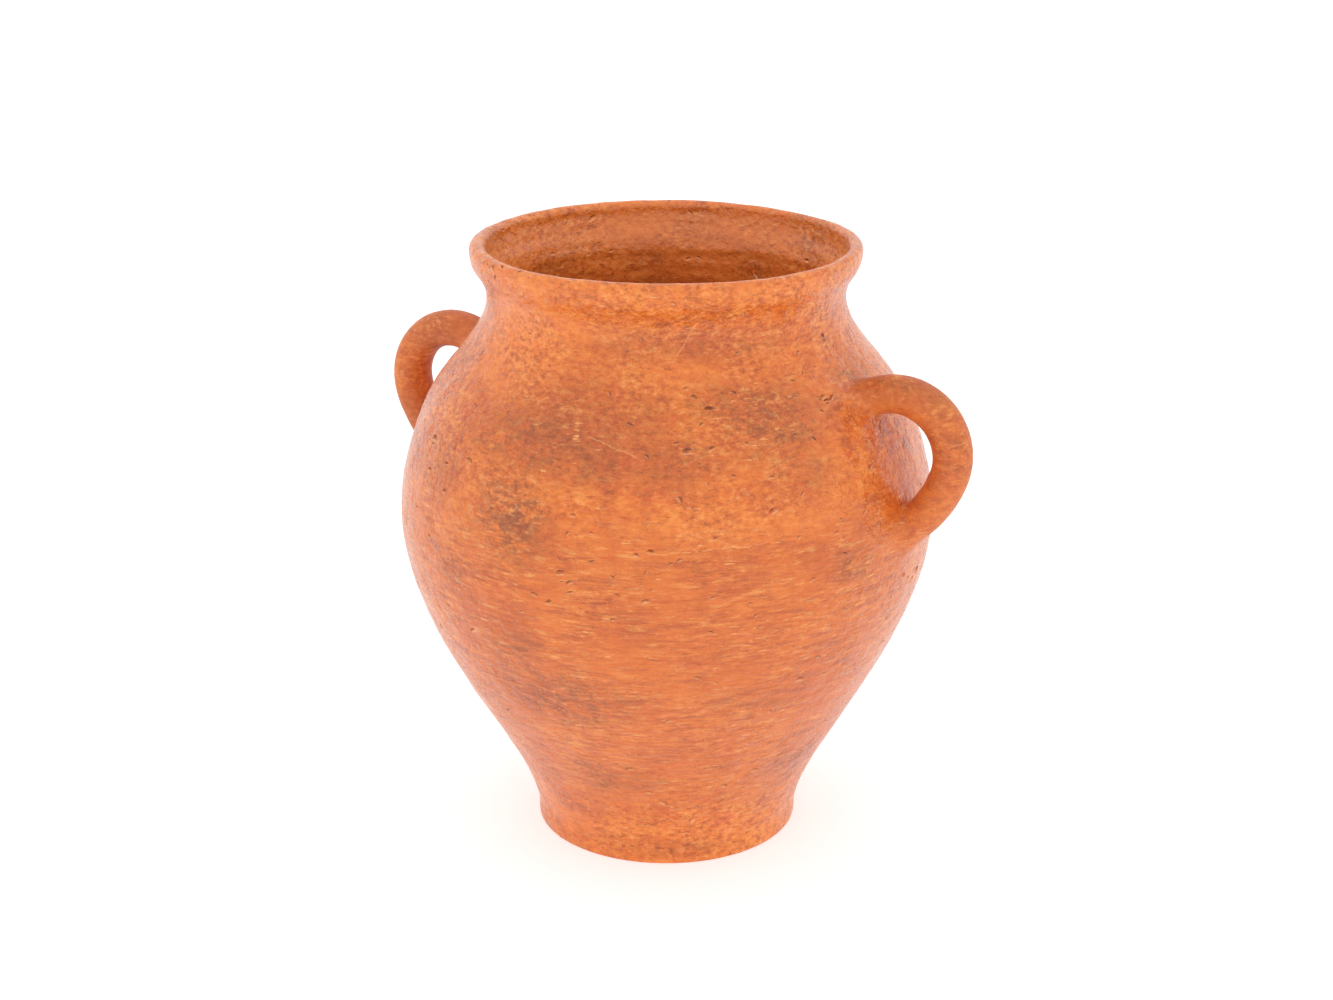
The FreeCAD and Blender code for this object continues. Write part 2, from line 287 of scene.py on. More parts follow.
class Pit:
    """A nick in the clay: an oval hollow with a slightly raised lip below it."""

    def __init__(self, centre, normal, turn, half_long, half_wide, depth, lip):
        level = np.cross([0, 0, 1.0], normal)
        level /= np.linalg.norm(level) + 1e-12
        rise = np.cross(normal, level)
        self.centre = centre
        self.long = level * math.cos(turn) + rise * math.sin(turn)
        self.wide = rise * math.cos(turn) - level * math.sin(turn)
        self.half_long = half_long
        self.half_wide = half_wide
        self.depth = depth
        self.lip = lip
        self.reach = 1.9 * max(half_long, half_wide)

    def sink(self, points):
        """The change of height at points near the pit, and its painted shade: 1 is painted shadow on the
        upper edge, below 0 is a painted highlight on the lower edge.
        """
        offset = points - self.centre
        u = offset @ self.long / self.half_long
        v = offset @ self.wide / self.half_wide
        v = v + 0.35 * (u * u - 0.5)
        ring = np.sqrt(u * u + v * v)
        bowl = np.clip(1 - ring ** 2, 0, 1) ** 0.8 * (0.35 + 0.65 * smooth(-0.9, 0.5, v))
        raised = np.exp(-((ring - 1.2) / 0.28) ** 2) * np.clip(0.35 - 0.65 * v, 0, 1)
        # painted shadow on the hollow's upper edge, and below it a painted highlight on its lower edge
        dark = smooth(0.0, 0.65, v) * smooth(1.3, 0.95, ring)
        pale = smooth(-0.35, -0.9, v) * smooth(1.4, 1.0, ring)
        return self.depth * (self.lip * raised - bowl), dark - 0.6 * pale


ROOT_HALF_HEIGHT = 25 * MM
ROOT_HALF_WIDTH = 27 * MM


def root_clearance(points):
    """How far points are from the middle of the nearest handle root, in half sizes of its footprint."""
    nearest = np.full(len(points), 99.0)
    for side in (1, -1):
        for root in ROOTS:
            along = (points[:, 2] - centreline(root["angle"])[1]) / ROOT_HALF_HEIGHT
            across = points[:, 1] / ROOT_HALF_WIDTH
            far = np.hypot(along, across) + 9.0 * (points[:, 0] * side < 0)
            nearest = np.minimum(nearest, far)
    return nearest


# Where nicks crowd together, as patches
SCUFFED = [
    (-40, 0.85, 50, 30, 1.5), (-40, 0.65, 40, 20, 0.8),
    (70, 0.85, 50, 20, 0.9), (110, 0.90, 60, 22, 1.0), (155, 0.90, 50, 25, 1.4),
]


def make_pits():
    """Nicks scattered over the outside and the inside, in loose crowds."""
    draw = np.random.default_rng(SEED)
    pits = []
    fine = np.linspace(0, skin.along[-1], 2000)
    area = np.cumsum(skin.at(fine)[0][:, 0])
    while len(pits) < PIT_COUNT:
        distance = np.interp(draw.uniform(0, area[-1]), area, fine)
        angle = draw.uniform(-math.pi, math.pi)
        point, normal = spun(np.array([distance]), np.array([angle]))
        crowd = lumps(point, 34 * MM, 7)[0] + 1.2 * float(patch(point, SCUFFED)[0])
        keep = draw.uniform()
        size = draw.gamma(2.4, 0.38)
        turn = draw.normal(0, 0.45)
        squash = draw.uniform(0.30, 0.60)
        deep = draw.uniform(0.30, 0.62)
        lip = draw.uniform(0.0, 0.4)
        if keep > 0.16 + 0.5 * max(0, crowd) or root_clearance(point)[0] < 1.15:
            continue
        if distance > skin.rim and point[0, 2] < JAR_HEIGHT / 2 and keep > 0.1:
            continue
        half = np.clip(0.55 + size, 0.6, 2.9) * MM
        pits.append(Pit(point[0], normal[0], turn, half, half * squash, half * deep, lip))
    return pits


def sink_pits(points, pits):
    """The height change and the painted light and shade that all the pits give: painted shadow above 0,
    painted highlight below it.
    """
    height = np.zeros(len(points))
    shades = np.zeros(len(points))
    order = np.argsort(points[:, 2])
    levels = points[order, 2]
    for pit in pits:
        first, last = np.searchsorted(levels, [pit.centre[2] - pit.reach, pit.centre[2] + pit.reach])
        near = order[first:last]
        near = near[np.linalg.norm(points[near] - pit.centre, axis=1) < pit.reach]
        if len(near):
            change, shade = pit.sink(points[near])
            height[near] += change
            shades[near] = np.where(np.abs(shade) > np.abs(shades[near]), shade, shades[near])
    return height, shades


# ---- handles: measures

GRIP_HALF_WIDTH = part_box("right_handle")[1].y
GRIP_HALF_THICKNESS = 11.3 * MM
CROWN_RADIUS = 35 * MM
CROWN_END = -20.0  # degrees, where the crown arc runs into the back arc
BACK_RADIUS = 75 * MM
CROWN_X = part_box("right_handle")[1].x - CROWN_RADIUS - GRIP_HALF_THICKNESS
CROWN_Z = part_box("right_handle")[1].z - CROWN_RADIUS - GRIP_HALF_THICKNESS


def centreline(degrees):
    """X and Z of the right handle's centreline at angles, from the upper root down."""
    angle = np.radians(degrees)
    end = math.radians(CROWN_END)
    back = np.asarray(degrees) < CROWN_END
    radius = np.where(back, BACK_RADIUS, CROWN_RADIUS)
    shift = np.where(back, CROWN_RADIUS - BACK_RADIUS, 0.0)
    x = CROWN_X + shift * math.cos(end) + radius * np.cos(angle)
    z = CROWN_Z + shift * math.sin(end) + radius * np.sin(angle)
    return x, z


def crossing_angle(inner, outer):
    """The angle where the centreline leaves the wall, between one inside it and one outside."""
    for _ in range(40):
        middle = (inner + outer) / 2
        x, z = centreline(middle)
        wall = skin.at(skin.outside_distance(np.array([z])))[0][0, 0]
        if x < wall:
            inner = middle
        else:
            outer = middle
    return outer


# A root's spread on the wall and its climb up the handle: away from the gap, towards the gap, to each side
ROOTS = [
    {
        "name": "upper_coil", "angle": crossing_angle(140.0, 80.0), "step": -1, "radius": CROWN_RADIUS,
        "spread": (6 * MM, 3 * MM, 12 * MM), "climb": (9 * MM, 4 * MM, 12 * MM),
    },
    {
        "name": "lower_coil", "angle": crossing_angle(-64.0, -24.0), "step": 1, "radius": BACK_RADIUS,
        "spread": (10 * MM, 3 * MM, 14 * MM), "climb": (13 * MM, 4 * MM, 14 * MM),
    },
]
PIT_COUNT = 980
PITS = make_pits()


# ---- surface marks

# Broad marks, in round values. A patch is its azimuth in degrees, its height as a part of the jar's,
# its half width and half height in millimetres, and its strength
STAINS = [
    (-90, 0.76, 60, 18, 0.85), (-80, 0.80, 50, 20, 0.6), (-60, 0.75, 30, 12, 0.7), (-35, 0.79, 32, 18, 0.9),
    (-45, 0.82, 22, 12, 0.7), (0, 0.82, 22, 10, 0.7), (-30, 0.72, 22, 12, 0.5), (-120, 0.69, 26, 20, 0.55),
    (-45, 0.90, 40, 9, 0.55), (-70, 0.90, 22, 10, 0.6),
    (-95, 0.65, 26, 24, 1.0), (-110, 0.54, 16, 14, 0.5), (-20, 0.57, 15, 10, 0.7), (-95, 0.43, 22, 20, 0.7),
    (-85, 0.35, 36, 20, 0.85), (-40, 0.35, 32, 12, 0.5), (-80, 0.18, 30, 14, 0.6), (-15, 0.18, 22, 15, 0.9),
    (-60, 0.03, 32, 6, 0.7),
]
# Patches where the clay is paler
PALE_PATCHES = [
    (-115, 0.89, 30, 22, 0.9), (-105, 0.84, 24, 12, 0.6), (-85, 0.92, 32, 10, 0.5), (-65, 0.86, 30, 10, 0.4),
    (-45, 0.65, 65, 9, 0.55), (10, 0.56, 30, 22, 0.5), (-110, 0.05, 30, 12, 0.7),
]
# A scratch is the azimuth and height of each end, and whether it is on the inside
SCRATCHES = [
    ((-60, 0.87), (-50, 0.95), False),
    ((-30, 0.90), (-20, 0.86), False),
    ((-80, 0.78), (-65, 0.75), False),
    ((-65, 0.62), (-40, 0.63), False),
    ((150, 0.95), (140, 0.89), True),
    ((160, 0.91), (145, 0.93), True),
]


def paint(mesh, points, inside, handled, dark):
    """Stores what the materials need to know about each vertex."""
    level = points[:, 2] / JAR_HEIGHT
    blotches = smooth(0.3, 1.6, lumps(points, 30 * MM, 11)) * 0.55
    front = points[:, 0] * math.sin(CAMERA_AZIMUTH) - points[:, 1] * math.cos(CAMERA_AZIMUTH)
    elsewhere = smooth(0.05, -0.03, front) * (1 - inside)
    edges = 0.50 * smooth(LIP_SEAM, LIP_SEAM + 9 * MM, points[:, 2])
    # painted light: the clay is lightened towards the foot, against the shade next to the floor
    edges += 0.5 * smooth(FOOT_SEAM * 3, FOOT_SEAM, points[:, 2])
    layers = {
        "stain": np.maximum(patch(points, STAINS) * (1 - inside), blotches * np.maximum(elsewhere, inside)),
        "worn_and_lit": np.maximum(patch(points, PALE_PATCHES), edges) * (1 - inside),
        "streak": smooth(0.69, 0.59, level) * smooth(0.08, 0.18, level) * (1 - handled),
        "inside": inside,
        "handled": handled,
        # the nicks' painted shadow above 0 and painted highlight below 0
        "pit": dark,
    }
    for name, values in layers.items():
        attribute = mesh.attributes.new(name, "FLOAT", "POINT")
        attribute.data.foreach_set("value", np.asarray(values, dtype=np.float32))


# ---- the skin's mesh

def cell_levels(rows):
    """How many times each base cell is halved: finest over pits, and fine round the handle roots."""
    levels = np.zeros((len(rows) - 1, COLUMNS), int)
    middle_row = (rows[1:] + rows[:-1]) / 2
    angles = (np.arange(COLUMNS) + 0.5) * 2 * math.pi / COLUMNS
    distance, angle = (grid.ravel() for grid in np.meshgrid(middle_row, angles, indexing="ij"))
    points, _ = spun(distance, angle)
    near_root = root_clearance(points) < 1.7
    levels.ravel()[near_root & (distance < skin.rim)] = 1
    order = np.argsort(points[:, 2])
    heights = points[order, 2]
    margin = ROW_STEP_MAX * 0.8
    for pit in PITS:
        reach = pit.half_long * 1.3 + margin
        first, last = np.searchsorted(heights, [pit.centre[2] - reach, pit.centre[2] + reach])
        near = order[first:last]
        near = near[np.linalg.norm(points[near] - pit.centre, axis=1) < reach]
        levels.ravel()[near] = FINEST
    for level in (FINEST - 1, FINEST - 2):
        padded = np.concatenate([levels[:1], levels, levels[-1:]])
        around = [np.roll(padded, (dj, di), (0, 1))[1:-1] for dj in (-1, 0, 1) for di in (-1, 0, 1)]
        levels = np.maximum(levels, np.minimum(np.max(around, axis=0) - 1, level))
    return levels


def cell_loops(levels, row, column):
    """The leaf cells of one base cell, as loops of lattice points that include finer neighbours' corners."""
    level = levels[row, column]
    count = 2 ** level
    side = SPLIT // count
    last = len(levels) - 1
    steps = {
        "south": SPLIT >> max(level, levels[max(row - 1, 0), column]),
        "north": SPLIT >> max(level, levels[min(row + 1, last), column]),
        "west": SPLIT >> max(level, levels[row, column - 1]),
        "east": SPLIT >> max(level, levels[row, (column + 1) % COLUMNS]),
    }
    for a in range(count):
        for b in range(count):
            j, i = row * SPLIT + a * side, column * SPLIT + b * side
            j_end, i_end = j + side, i + side
            south = steps["south"] if a == 0 else side
            north = steps["north"] if a == count - 1 else side
            west = steps["west"] if b == 0 else side
            east = steps["east"] if b == count - 1 else side
            loop = [(j, x) for x in range(i, i_end, south)]
            loop += [(y, i_end) for y in range(j, j_end, east)]
            loop += [(j_end, x) for x in range(i_end, i, -north)]
            loop += [(y, i) for y in range(j_end, j, -west)]
            yield loop


def make_object(name, points, faces, normals=None):
    """A smooth mesh object, with the given normals where they aren't zero."""
    mesh = bpy.data.meshes.new(name)
    mesh.from_pydata([tuple(point) for point in points], [], faces)
    mesh.polygons.foreach_set("use_smooth", np.ones(len(faces), bool))
    if normals is not None:
        mesh.normals_split_custom_set_from_vertices([tuple(normal) for normal in normals])
    mesh.update()
    piece = bpy.data.objects.new(name, mesh)
    bpy.context.scene.collection.objects.link(piece)
    return piece


def build_skin():
    """Every lattice point of the skin with its place, shading normal and marks, and every cell by row."""
    rows = skin.rows()
    levels = cell_levels(rows)
    number = {}
    cells = []
    full_turn = COLUMNS * SPLIT
    for row in range(len(levels)):
        found = []
        for column in range(COLUMNS):
            for loop in cell_loops(levels, row, column):
                corners = [(j, i % full_turn) for j, i in loop]
                found.append([number.setdefault(corner, len(number)) for corner in corners])
        cells.append(found)
    lattice = np.array(list(number))
    distance = np.interp(lattice[:, 0] / SPLIT, np.arange(len(rows)), rows)
    angle = lattice[:, 1] * 2 * math.pi / full_turn
    points, normals = spun(distance, angle)
    inside = smooth(skin.rim + 2 * MM, skin.rim + 14 * MM, distance)
    nothing = np.zeros(len(points))
    sunk, dark = sink_pits(points, PITS)
    places = points + normals * (relief(points, inside, nothing) + sunk)[:, None]
    places[:, 2] = np.maximum(places[:, 2], 0.0)
    whole = bpy.data.meshes.new("skin")
    whole.from_pydata([tuple(place) for place in places], [], [cell for found in cells for cell in found])
    shading = np.zeros(len(places) * 3)
    whole.vertex_normals.foreach_get("vector", shading)
    bpy.data.meshes.remove(whole)
    return {
        "rows": rows, "number": number, "cells": cells, "places": places, "bases": points,
        "shading": shading.reshape(-1, 3), "inside": inside, "dark": dark,
    }


def ring_of(made, row, column):
    """The skin's own vertices on a border row, along one base cell."""
    full_turn = COLUMNS * SPLIT
    lattice = [(row * SPLIT, (column * SPLIT + i) % full_turn) for i in range(SPLIT + 1)]
    return [made["number"][corner] for corner in lattice if corner in made["number"]]


def thrown_piece(made, node, name):
    """One thrown section: its spans of the skin, closed through its hidden joint faces."""
    spans = [[skin.place[corner] for corner in span] for span in skin.spans[node]]
    spans = [[int(np.argmin(np.abs(made["rows"] - distance))) for distance in span] for span in spans]
    faces = [cell for first, last in spans for found in made["cells"][first:last] for cell in found]
    extra = []
    total = len(made["places"])
    for (_, last), (first, _), corners in zip(spans, spans[1:] + spans[:1], skin.hidden[node]):
        rings = []
        for radius, height in corners:
            rings.append([total + len(extra) + column for column in range(COLUMNS)])
            for column in range(COLUMNS):
                angle = column * 2 * math.pi / COLUMNS
                extra.append((radius * math.cos(angle), radius * math.sin(angle), height))
        for column in range(COLUMNS):
            beside = (column + 1) % COLUMNS
            strip = [ring_of(made, last, column)]
            strip += [[ring[column], ring[beside]] for ring in rings]
            strip += [ring_of(made, first, column)]
            faces += [low + high[::-1] for low, high in zip(strip, strip[1:])]
    points = np.concatenate([made["places"], np.array(extra).reshape(-1, 3)])
    padding = np.zeros(len(extra))
    normals = np.concatenate([made["shading"], np.zeros((len(extra), 3))])
    inside = np.concatenate([made["inside"], padding])
    dark = np.concatenate([made["dark"], padding])
    bases = np.concatenate([made["bases"], np.array(extra).reshape(-1, 3)])
    used = np.unique(np.concatenate([np.array(face) for face in faces]))
    renumber = np.full(len(points), -1)
    renumber[used] = np.arange(len(used))
    faces = [[int(renumber[index]) for index in face] for face in faces]
    piece = make_object(name, points[used], faces, normals[used])
    paint(piece.data, bases[used], inside[used], np.zeros(len(used)), dark[used])
    return piece


# ---- small turned pieces

def turned_piece(node, name, columns, step):
    """A coil or ring inside the jar: its own profile, finely divided and a little uneven."""
    beside = outline(node)
    start = min(beside, key=lambda corner: (corner[1], -corner[0]))
    loop = walk(beside, start)
    rings = []
    for (r0, z0), (r1, z1) in zip(loop, loop[1:] + loop[:1]):
        count = max(1, math.ceil(math.hypot(r1 - r0, z1 - z0) / step))
        rings += [(r0 + (r1 - r0) * k / count, z0 + (z1 - z0) * k / count) for k in range(count)]
    profile = np.array(rings)
    ahead = np.roll(profile, -1, axis=0) - np.roll(profile, 1, axis=0)
    ahead /= np.hypot(*ahead.T)[:, None]
    angle = np.tile(np.arange(columns) * 2 * math.pi / columns, len(rings))
    radius, height = (np.repeat(profile[:, k], columns) for k in (0, 1))
    out, up = np.repeat(ahead[:, 1], columns), -np.repeat(ahead[:, 0], columns)
    points = np.stack([radius * np.cos(angle), radius * np.sin(angle), height], 1)
    normals = np.stack([out * np.cos(angle), out * np.sin(angle), up], 1)
    ones = np.ones(len(points))
    places = points + normals * relief(points, ones, 0 * ones)[:, None]
    faces = grid_faces(len(rings), columns, True)
    piece = make_object(name, places, faces)
    paint(piece.data, points, ones, 0 * ones, 0 * ones)
    return piece


def grid_faces(rows, columns, closed):
    """Quads of a grid that wraps round its columns, and round its rows if it is closed."""
    faces = []
    for row in range(rows if closed else rows - 1):
        above = (row + 1) % rows
        for column in range(columns):
            beside = (column + 1) % columns
            faces.append([row * columns + column, row * columns + beside,
                          above * columns + beside, above * columns + column])
    return faces


def disc_piece(node, name, columns, rings):
    """The jar's floor: a disc with a finger spiral on top and faint wire marks below."""
    low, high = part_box(node)
    edge = high.x
    radii = np.linspace(0, edge, rings + 1)[1:]
    profile = np.array([(radius, low.z) for radius in radii] + [(radius, high.z) for radius in radii[::-1]])
    angle = np.tile(np.arange(columns) * 2 * math.pi / columns, len(profile))
    radius, height = (np.repeat(profile[:, k], columns) for k in (0, 1))
    points = np.stack([radius * np.cos(angle), radius * np.sin(angle), height], 1)
    above = (points[:, 2] > (low.z + high.z) / 2).astype(float)
    spiral = np.sin(2 * math.pi * radius / (13 * MM) - angle) * smooth(1.0, 0.75, radius / edge)
    wire = np.sin(2 * math.pi * np.hypot(points[:, 0] + 0.11, points[:, 1]) / (4.5 * MM))
    change = 0.5 * MM * spiral * above - 0.12 * MM * (1 + wire) * (1 - above)
    points[:, 2] += change + 0.12 * MM * lumps(points, 9 * MM, 8) * np.where(radius < edge * 0.98, 1, 0)
    count = len(profile)
    faces = grid_faces(count, columns, False)
    centre_low = len(points)
    points = np.concatenate([points, [[0, 0, low.z], [0, 0, high.z]]])
    for column in range(columns):
        beside = (column + 1) % columns
        faces.append([beside, column, centre_low])
        faces.append([centre_low + 1, (count - 1) * columns + column, (count - 1) * columns + beside])
    piece = make_object(name, points, faces)
    above = np.concatenate([above, [0, 1]])
    paint(piece.data, points, above, 0 * above, 0 * above)
    return piece


# ---- handles

GRIP_COLUMNS = 112
GRIP_STEP = 1.3 * MM


def oval_frames(degrees, side):
    """The centres, and the directions across and along the handle, at angles of its centreline."""
    angle = np.radians(degrees)
    x, z = centreline(degrees)
    level = np.zeros_like(x)
    centres = np.stack([x * side, level, z], 1)
    across = np.stack([np.cos(angle) * side, level, np.sin(angle)], 1)
    forward = np.stack([np.sin(angle) * side, level, -np.cos(angle)], 1)
    return centres, across, forward


def grip_surface(degrees, turn, side):
    """Points and normals on the handle's oval, for arrays of centreline angles and turns about it."""
    centres, across, _ = oval_frames(degrees, side)
    wide = np.stack([np.zeros_like(turn), np.sin(turn), np.zeros_like(turn)], 1)
    cos = np.cos(turn)[:, None]
    points = centres + across * GRIP_HALF_THICKNESS * cos + wide * GRIP_HALF_WIDTH
    normals = across * cos / GRIP_HALF_THICKNESS + wide / GRIP_HALF_WIDTH
    return points, normals / np.linalg.norm(normals, axis=1)[:, None]


def grip_angles():
    """Centreline angles at even steps, from inside the wall at one root to inside it at the other."""
    buried = 7 * MM
    start = ROOTS[0]["angle"] + math.degrees(buried / CROWN_RADIUS)
    end = ROOTS[1]["angle"] - math.degrees(buried / BACK_RADIUS)
    crown = math.radians(start - CROWN_END) * CROWN_RADIUS
    back = math.radians(CROWN_END - end) * BACK_RADIUS
    found = []
    for distance in np.linspace(0, crown + back, math.ceil((crown + back) / GRIP_STEP)):
        if distance < crown:
            found.append(start - math.degrees(distance / CROWN_RADIUS))
        else:
            found.append(CROWN_END - math.degrees((distance - crown) / BACK_RADIUS))
    return np.array(found)


def displaced(points, normals, handled):
    """The handle's or a root's surface with its relief."""
    calm = 1 - 0.35 * handled
    return points + normals * (relief(points, 0 * handled, handled) * calm)[:, None]


def handle_piece(side, name):
    """One handle: a bent oval coil whose ends are buried in the wall."""
    angles = grip_angles()
    turns = np.arange(GRIP_COLUMNS) * 2 * math.pi / GRIP_COLUMNS
    degrees, turn = np.repeat(angles, GRIP_COLUMNS), np.tile(turns, len(angles))
    points, normals = grip_surface(degrees, turn, side)
    handled = np.ones(len(points))
    places = displaced(points, normals, handled)
    faces = grid_faces(len(angles), GRIP_COLUMNS, False)
    faces.append(list(range(GRIP_COLUMNS))[::-1])
    faces.append([(len(angles) - 1) * GRIP_COLUMNS + k for k in range(GRIP_COLUMNS)])
    if side > 0:
        faces = [face[::-1] for face in faces]
    piece = make_object(name, places, faces)
    paint(piece.data, points, 0 * handled, handled, 0 * handled)
    return piece


def wall_frame(azimuth, height):
    """Places and shading normals on the displaced outside of the wall."""
    def place(turn, level):
        points, normals = spun(skin.outside_distance(level), turn)
        nothing = np.zeros(len(points))
        return points + normals * relief(points, nothing, nothing)[:, None], points
    nudge = 0.4 * MM
    spot, base = place(azimuth, height)
    swing = nudge / np.hypot(base[:, 0], base[:, 1])
    east = place(azimuth + swing, height)[0] - place(azimuth - swing, height)[0]
    north = place(azimuth, height + nudge)[0] - place(azimuth, height - nudge)[0]
    normal = np.cross(east, north)
    return spot, normal / np.linalg.norm(normal, axis=1)[:, None]


ROOT_ROWS = 30
ROOT_BLEND = 3.0 * MM  # over this distance from its edges a root takes its neighbours' own shading
ROOT_SHELL = 1.6 * MM
ROOT_PULL = 0.72  # how closely its profile follows the corner that it fills


def by_side(values, turns):
    """A measure that changes smoothly round the handle: its outer, gap and side values."""
    outer, gap, side = values
    cos = np.cos(turns)
    return side + (outer - gap) / 2 * cos + ((outer + gap) / 2 - side) * cos * cos


def wall_crossings(root, turns, side):
    """The centreline angle at which each line along the handle's surface comes out of the wall."""
    reach = 26 * MM
    inner = np.full(len(turns), root["angle"] - root["step"] * math.degrees(reach / root["radius"]))
    outer = np.full(len(turns), root["angle"] + root["step"] * math.degrees(reach / root["radius"]))
    for _ in range(30):
        middle = (inner + outer) / 2
        points, _ = grip_surface(middle, turns, side)
        wall = skin.at(skin.outside_distance(points[:, 2]))[0][:, 0]
        buried = np.hypot(points[:, 0], points[:, 1]) < wall
        inner = np.where(buried, middle, inner)
        outer = np.where(buried, outer, middle)
    return outer


def unit(vectors):
    """The vectors at unit length."""
    return vectors / np.linalg.norm(vectors, axis=-1, keepdims=True)


def in_plane(vectors, normals):
    """Unit vectors laid into the planes that the normals are square to."""
    return unit(vectors - normals * np.sum(vectors * normals, axis=1, keepdims=True))


def root_piece(root, side, name):
    """The clay smoothed round a handle's root, from the wall's surface up to the handle's."""
    turns = np.arange(GRIP_COLUMNS) * 2 * math.pi / GRIP_COLUMNS
    spread = by_side(root["spread"], turns)[:, None]
    climb = by_side(root["climb"], turns)[:, None]
    crossings = wall_crossings(root, turns, side)
    corner, corner_normal = grip_surface(crossings, turns, side)
    _, out = spun(skin.outside_distance(corner[:, 2]), np.arctan2(corner[:, 1], corner[:, 0]))
    feet = corner + in_plane(corner_normal, out) * spread
    foot, foot_normal = wall_frame(np.arctan2(feet[:, 1], feet[:, 0]), feet[:, 2])
    foot = foot - foot_normal * 0.02 * MM

    tops = crossings + root["step"] * np.degrees(climb[:, 0] / root["radius"])
    top, top_normal = grip_surface(tops, turns, side)
    top = displaced(top, top_normal, np.ones(len(turns)))
    leaving = oval_frames(tops, side)[2] * -root["step"]
    first = foot + in_plane(corner - foot, foot_normal) * spread * ROOT_PULL
    second = top - leaving * climb * ROOT_PULL

    rows = []
    for t in np.linspace(0, 1, ROOT_ROWS):
        s = 1 - t
        rows.append(s ** 3 * foot + 3 * s * s * t * first + 3 * s * t * t * second + t ** 3 * top)
    surface = np.array(rows)
    up = np.gradient(surface, axis=0)
    across = np.roll(surface, -1, axis=1) - np.roll(surface, 1, axis=1)
    normals = unit(np.cross(across, up))
    if np.sum(normals[0] * foot_normal) < 0:
        normals = -normals
    from_foot = smooth(0, ROOT_BLEND, np.linalg.norm(surface - surface[:1], axis=2))[:, :, None]
    from_top = smooth(0, ROOT_BLEND, np.linalg.norm(surface - surface[-1:], axis=2))[:, :, None]
    shading = normals * from_foot * from_top + foot_normal * (1 - from_foot) + top_normal * (1 - from_top)
    part = np.linspace(0, 1, ROOT_ROWS)[:, None] * np.ones(len(turns))
    uneven = 0.10 * MM * lumps(surface.reshape(-1, 3), 9 * MM, 9).reshape(part.shape) * np.sin(part * math.pi)
    surface = surface + normals * uneven[:, :, None]

    under = (surface - normals * ROOT_SHELL)[::-5]
    points = np.concatenate([surface.reshape(-1, 3), under.reshape(-1, 3)])
    shade = np.concatenate([unit(shading).reshape(-1, 3), np.zeros((under.size // 3, 3))])
    faces = grid_faces(ROOT_ROWS + len(under), GRIP_COLUMNS, True)
    edge = [points[index] for index in faces[0]]
    if np.cross(edge[1] - edge[0], edge[3] - edge[0]) @ normals[0, 0] < 0:
        faces = [face[::-1] for face in faces]
    handled = np.concatenate([smooth(0.05, 0.8, part).ravel(), np.ones(under.size // 3)])
    piece = make_object(name, points, faces, shade)
    paint(piece.data, points, 0 * handled, handled, 0 * handled)
    return piece


# ---- materials

def linear(red, green, blue):
    """A linear colour from display values of 0 to 255."""
    found = []
    for value in (red, green, blue):
        part = value / 255
        found.append(part / 12.92 if part <= 0.04045 else ((part + 0.055) / 1.055) ** 2.4)
    return (*found, 1.0)


class Nodes:
    """Short calls that add shader nodes and give their output sockets."""

    def __init__(self, material):
        material.use_nodes = True
        self.tree = material.node_tree
        self.tree.nodes.clear()

    def add(self, kind, inputs=None, output=0, **settings):
        node = self.tree.nodes.new(kind)
        for name, value in settings.items():
            setattr(node, name, value)
        for name, value in (inputs or {}).items():
            if isinstance(value, bpy.types.NodeSocket):
                self.tree.links.new(value, node.inputs[name])
            else:
                node.inputs[name].default_value = value
        return node.outputs[output] if output is not None else node

    def math(self, operation, a, b=0.0, c=None):
        inputs = {0: a, 1: b} if c is None else {0: a, 1: b, 2: c}
        return self.add("ShaderNodeMath", inputs, operation=operation)

    def noise(self, place, size, detail, rough):
        """Noise whose largest features are about that size in metres."""
        inputs = {"Vector": place, "Scale": 1 / size, "Detail": detail, "Roughness": rough}
        return self.add("ShaderNodeTexNoise", inputs)

    def between(self, value, low, high):
        """An S-shaped rise from 0 at low to 1 at high."""
        inputs = {"Value": value, "From Min": low, "From Max": high}
        return self.add("ShaderNodeMapRange", inputs, interpolation_type="SMOOTHSTEP")

    def mix(self, factor, a, b):
        """A colour between a and b."""
        return self.add("ShaderNodeMix", {0: factor, 6: a, 7: b}, output=2, data_type="RGBA")

    def blend(self, factor, a, b):
        """A number between a and b."""
        return self.add("ShaderNodeMix", {0: factor, 2: a, 3: b}, output=0, data_type="FLOAT")

    def ramp(self, value, stops):
        node = self.add("ShaderNodeValToRGB", {0: value}, output=None)
        bar = node.color_ramp
        bar.elements[0].position, bar.elements[0].color = stops[0]
        bar.elements[1].position, bar.elements[1].color = stops[-1]
        for position, colour in stops[1:-1]:
            bar.elements.new(position).color = colour
        return node.outputs[0]

    def attribute(self, name):
        return self.add("ShaderNodeAttribute", output=2, attribute_name=name)


def scratch(n, place, start, end, outward):
    """1 along a fine straight line over the surface between two points, and 0 elsewhere."""
    along = (end - start).normalized()
    aside = along.cross(outward).normalized()
    offset = n.add("ShaderNodeVectorMath", {0: place, 1: start}, operation="SUBTRACT")
    part = [n.add("ShaderNodeVectorMath", {0: offset, 1: axis}, output=1, operation="DOT_PRODUCT")
            for axis in (aside, along, outward)]
    length = (end - start).length
    line = n.between(n.math("ABSOLUTE", part[0]), 0.60 * MM, 0.05 * MM)
    ends = n.math("MULTIPLY", n.between(part[1], 0, 5 * MM), n.between(part[1], length, length - 8 * MM))
    near = n.between(part[2], -20 * MM, -15 * MM)
    return n.math("MULTIPLY", n.math("MULTIPLY", line, ends), near)


WALL_BEHIND = 9 * MM  # how far the inside lies behind the outside, where the scratches are


